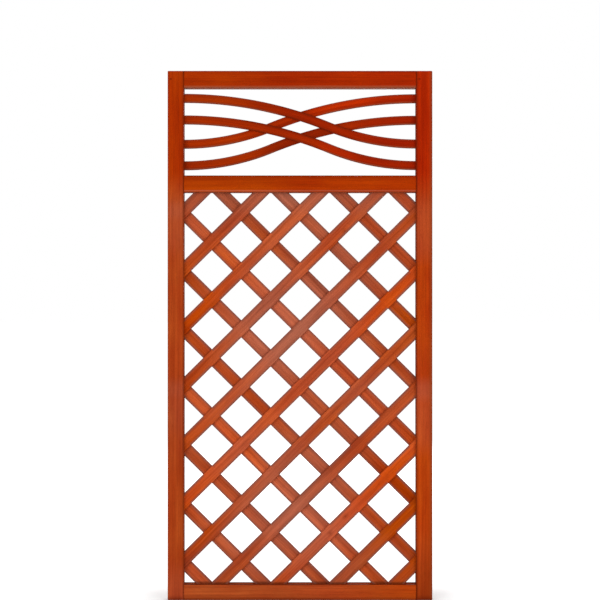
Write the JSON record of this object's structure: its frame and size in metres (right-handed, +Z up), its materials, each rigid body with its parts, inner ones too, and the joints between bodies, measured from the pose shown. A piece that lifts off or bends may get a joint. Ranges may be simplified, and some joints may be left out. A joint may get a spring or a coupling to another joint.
{
  "type": "trellis top fence panel",
  "caption": "Tall garden fence panel: grooved timber frame, two-layer diagonal lattice, and a top window of crossing S-shaped slats.",
  "frame": {"origin": "middle of the panel's foot, halfway through its depth", "axes": "+Z up the panel, +X to the right as the front is seen, +Y through the panel towards its back"},
  "size_m": [0.9, 0.045, 1.8],
  "materials": {
    "stile_timber": "satin mahogany-orange stain, grain along the stile",
    "rail_timber": "satin mahogany-orange stain, grain along the rail",
    "rising_timber": "satin red-orange stain, each slat a shade of its own",
    "falling_timber": "satin red-orange stain, each slat a shade of its own",
    "curve_timber": "satin deep red-orange stain",
    "zinc_steel": "bright zinc"
  },
  "bodies": {
    "root": {"left_stile": "stile_timber", "right_stile": "stile_timber", "bottom_rail": "rail_timber", "middle_rail": "rail_timber", "top_rail": "rail_timber", "rising_slat_01": "rising_timber", "rising_slat_02": "rising_timber", "rising_slat_03": "rising_timber", "rising_slat_04": "rising_timber", "rising_slat_05": "rising_timber", "rising_slat_06": "rising_timber", "rising_slat_07": "rising_timber", "rising_slat_08": "rising_timber", "rising_slat_09": "rising_timber", "rising_slat_10": "rising_timber", "rising_slat_11": "rising_timber", "falling_slat_01": "falling_timber", "falling_slat_02": "falling_timber", "falling_slat_03": "falling_timber", "falling_slat_04": "falling_timber", "falling_slat_05": "falling_timber", "falling_slat_06": "falling_timber", "falling_slat_07": "falling_timber", "falling_slat_08": "falling_timber", "falling_slat_09": "falling_timber", "falling_slat_10": "falling_timber", "falling_slat_11": "falling_timber", "front_curve_upper": "curve_timber", "front_curve_lower": "curve_timber", "back_curve_upper": "curve_timber", "back_curve_lower": "curve_timber", "front_curve_upper_brad_left": "zinc_steel", "front_curve_upper_brad_right": "zinc_steel", "front_curve_lower_brad_left": "zinc_steel", "front_curve_lower_brad_right": "zinc_steel", "back_curve_upper_brad_left": "zinc_steel", "back_curve_upper_brad_right": "zinc_steel", "back_curve_lower_brad_left": "zinc_steel", "back_curve_lower_brad_right": "zinc_steel", "curve_staple_1": "zinc_steel", "curve_staple_2": "zinc_steel", "curve_staple_3": "zinc_steel", "curve_staple_4": "zinc_steel", "bottom_rail_screw_left_1": "zinc_steel", "bottom_rail_screw_left_2": "zinc_steel", "bottom_rail_screw_right_1": "zinc_steel", "bottom_rail_screw_right_2": "zinc_steel", "middle_rail_screw_left_1": "zinc_steel", "middle_rail_screw_left_2": "zinc_steel", "middle_rail_screw_right_1": "zinc_steel", "middle_rail_screw_right_2": "zinc_steel", "top_rail_screw_left_1": "zinc_steel", "top_rail_screw_left_2": "zinc_steel", "top_rail_screw_right_1": "zinc_steel", "top_rail_screw_right_2": "zinc_steel"}
  },
  "joints": []
}
